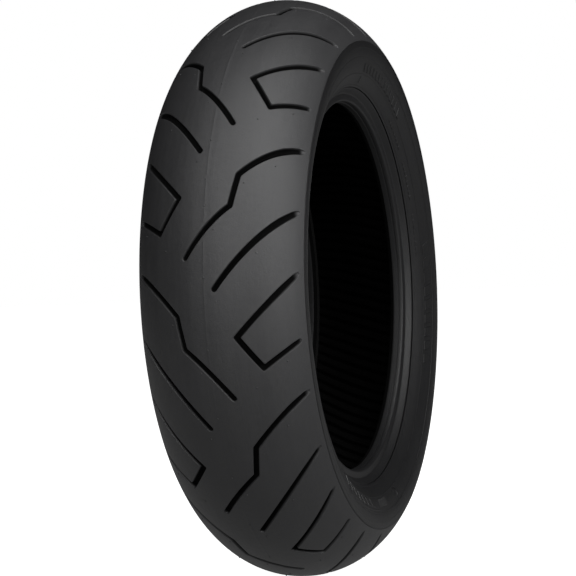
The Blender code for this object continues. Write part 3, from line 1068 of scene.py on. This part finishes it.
def coated_wire(name):
    """Bronze-coated bead wire with a little rubber left on it."""
    material, tree, place = new_material(name)
    patches = noise(tree, place, 60.0, 5.0, 0.6)
    drawn = streak_noise(tree, place, 900.0, 8.0, 3.0, 0.5)
    colour = ramp(tree, blended(tree, (patches, 0.7), (drawn, 0.3)), [
        (0.38, (0.10, 0.075, 0.05)), (0.5, (0.42, 0.27, 0.14)), (0.66, (0.6, 0.42, 0.24))])
    surface(tree, drawn, 0.2 * MM, 0.4, {
        "Base Color": colour, "Metallic": 1.0, "Roughness": spread(tree, patches, 0.3, 0.6)})
    return material


# The pieces

PAINTED_SHADE_SHINE = 0.25  # share of the shine left where shade is painted: deep in the grooves, between the liner's ribs and at the bead toes
DEEP_ROUGHNESS = 0.5  # added to the roughness there
PAINTED_SHADE_COLOUR = (0.0006, 0.0006, 0.0006)  # painted shade: near-black colour deep in the grooves, between the liner's ribs and at the bead toes
PAINTED_SHADE_DEPTHS = (0.4 * MM, 3.4 * MM)  # depths between which painted shade darkens a groove
TOE_PAINTED_SHADE_ACROSS = (50.5 * MM, 49.9 * MM)  # distances from the middle between which painted shade darkens the toe


def grey(value, blue=0.0):
    """A colour whose blue is higher than its red and green by a little."""
    return value, value, value + blue


LOOKS = {
    "tread_rubber": (rubber, grey(0.016, 0.001), grey(0.026, 0.001), 0.42, 0.58, 1.0, 0.5, 0.5,
                     groove_painted_shade),
    "side_rubber": (rubber, grey(0.007, 0.0005), grey(0.011, 0.0005), 0.40, 0.52, 0.8, 0.4, 0.32,
                    toe_painted_shade),
    "liner_rubber": (rubber, grey(0.0006), grey(0.0014), 0.7, 0.85, 0.8, 0.3, 0.05, rib_painted_shade),
    "base_rubber": (rubber, (0.02, 0.019, 0.018), (0.035, 0.033, 0.031), 0.55, 0.7, 0.8, 0.3),
    "ply_fabric": (cord_fabric, (0.02, 0.018, 0.016), (0.10, 0.085, 0.065), 1.2 * MM, 0.15),
    "belt_fabric": (cord_fabric, (0.022, 0.02, 0.016), (0.16, 0.13, 0.075), 1.4 * MM, 2.2),
    "chafer_fabric": (cord_fabric, grey(0.002), grey(0.008), 1.0 * MM, 1.0, 0.8, 0.1),
    "bead_steel": (coated_wire,),
}
MATERIALS = {name: make(name, *settings) for name, (make, *settings) in LOOKS.items()}


def place_piece(piece, cad_node, slot):
    piece.name = cad_node + "_visual"
    piece.data.materials.clear()
    piece.data.materials.append(MATERIALS[slot])
    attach(piece, "root")
    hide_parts(cad_node)


def eased_ring(name):
    return ring_piece(name, eased(cad_section(name)))


side_profile = SideProfile()
place_piece(build_tread(), "tread_cap", "tread_rubber")
place_piece(build_liner("inner_liner"), "inner_liner", "liner_rubber")
for hidden_node, slot in (("tread_base", "base_rubber"), ("belt_outer", "belt_fabric"),
                          ("belt_inner", "belt_fabric"), ("body_ply_outer", "ply_fabric"),
                          ("body_ply_inner", "ply_fabric")):
    place_piece(eased_ring(hidden_node), hidden_node, slot)
for side in ("left", "right"):
    place_piece(build_sidewall("sidewall_" + side, side_profile), "sidewall_" + side, "side_rubber")
    place_piece(build_cushion("rim_cushion_" + side), "rim_cushion_" + side, "side_rubber")
    place_piece(build_bead_core("bead_core_" + side), "bead_core_" + side, "bead_steel")
    for hidden_node, slot in (("belt_edge_cushion_", "base_rubber"), ("bead_filler_", "base_rubber"),
                              ("bead_wrap_", "chafer_fabric"), ("chafer_", "chafer_fabric")):
        place_piece(eased_ring(hidden_node + side), hidden_node + side, slot)


# Camera

CAMERA_AZIMUTH = -72.395 * DEG
CAMERA_HEIGHT = 4.0 * DEG
CAMERA_ROLL = -3.548 * DEG
CAMERA_DISTANCE = 2.459
SENSOR = 36.0
LENS = 137.375  # millimetres, as is the sensor's side
LENS_SHIFT = (-0.024653, -0.000347)  # shares of the frame's side, across and up


def add_camera():
    azimuth, height, roll = CAMERA_AZIMUTH, CAMERA_HEIGHT, CAMERA_ROLL
    level = Vector((math.sin(azimuth), -math.cos(azimuth), 0))
    back = math.cos(height) * level + Vector((0, 0, math.sin(height)))
    right = Vector((math.cos(azimuth), math.sin(azimuth), 0))
    up = right.cross(-back)
    across = math.cos(roll) * right + math.sin(roll) * up
    upright = -math.sin(roll) * right + math.cos(roll) * up
    place = Matrix((across, upright, back)).transposed().to_4x4()
    place.translation = back * CAMERA_DISTANCE
    data = bpy.data.cameras.new("camera")
    data.sensor_width = SENSOR
    data.lens = LENS
    data.shift_x, data.shift_y = LENS_SHIFT
    camera = new_object("camera", data)
    camera.matrix_world = place
    bpy.context.scene.camera = camera


# Floor, lights and world

FLOOR_HALF = 4.0
FLOOR_BOUNCE = 0.29  # light that the paper throws back up at the tyre
WORLD_LIGHT = 0.0


def add_floor():
    bottom = -OUTER_RADIUS
    corners = [(x * FLOOR_HALF, y * FLOOR_HALF, bottom) for x, y in ((-1, -1), (1, -1), (1, 1), (-1, 1))]
    floor = mesh_object("floor", corners, [(0, 1, 2, 3)])
    material, tree, place = new_material("floor_paper")
    grain = noise(tree, place, 40.0)
    tint = ramp(tree, grain, [(0.4, (0.78, 0.78, 0.78)), (0.6, (0.8, 0.8, 0.8))])
    paper = node(tree, "ShaderNodeBsdfPrincipled", {
        "Base Color": tint, "Roughness": 0.9, "Emission Color": (1, 1, 1, 1), "Emission Strength": 1.0,
        "Specular IOR Level": 0.0})
    bounce = node(tree, "ShaderNodeEmission", {"Color": (1, 1, 1, 1), "Strength": FLOOR_BOUNCE})
    seen = node(tree, "ShaderNodeLightPath").outputs["Is Camera Ray"]
    mixed = node(tree, "ShaderNodeMixShader", {0: seen, 1: bounce.outputs[0], 2: paper.outputs[0]})
    node(tree, "ShaderNodeOutputMaterial", {"Surface": mixed.outputs[0]})
    floor.data.materials.append(material)


def add_softbox(name, azimuth, elevation, power):
    """An area light that faces the tyre. Azimuth runs from +X towards +Y."""
    azimuth, elevation = azimuth * DEG, elevation * DEG
    level = Vector((math.cos(azimuth), math.sin(azimuth), 0))
    away = math.cos(elevation) * level + Vector((0, 0, math.sin(elevation)))
    data = bpy.data.lights.new(name, "AREA")
    data.size = SOFTBOX_SIDE
    data.energy = power
    light = new_object(name, data)
    light.location = away * SOFTBOX_DISTANCE
    light.rotation_euler = away.to_track_quat("Z", "Y").to_euler()
    light.visible_camera = False


def add_world():
    """White behind the tyre, and no light on it: the softboxes and the floor give that."""
    world = bpy.data.worlds.new("world")
    world.use_nodes = True
    tree = world.node_tree
    tree.nodes.clear()
    seen = node(tree, "ShaderNodeLightPath").outputs["Is Camera Ray"]
    dim = node(tree, "ShaderNodeBackground", {"Color": (1, 1, 1, 1), "Strength": WORLD_LIGHT})
    white = node(tree, "ShaderNodeBackground", {"Color": (1, 1, 1, 1), "Strength": 1.0})
    mixed = node(tree, "ShaderNodeMixShader", {0: seen, 1: dim.outputs[0], 2: white.outputs[0]})
    node(tree, "ShaderNodeOutputWorld", {"Surface": mixed.outputs[0]})
    bpy.context.scene.world = world


SOFTBOX_DISTANCE = 2.6
SOFTBOX_SIDE = 1.1
SOFTBOXES = [  # name, azimuth, elevation and power
    ("side_floor", 250.0, 0.0, 9.2),
    ("side_low", 250.0, 20.0, 28.5),
    ("side_high", 250.0, 62.0, 25.4),
    ("side_middle", 230.0, 40.0, 15.8),
    ("front_floor", 190.0, 0.0, 3.6),
    ("front_low", 190.0, 20.0, 17.7),
    ("front_middle", 170.0, 40.0, 9.1),
    ("front_high", 170.0, 62.0, 14.8),
]

add_camera()
add_floor()
for softbox, azimuth, elevation, power in SOFTBOXES:
    add_softbox(softbox, azimuth, elevation, power)
add_world()
bpy.context.scene.view_settings.view_transform = "Standard"
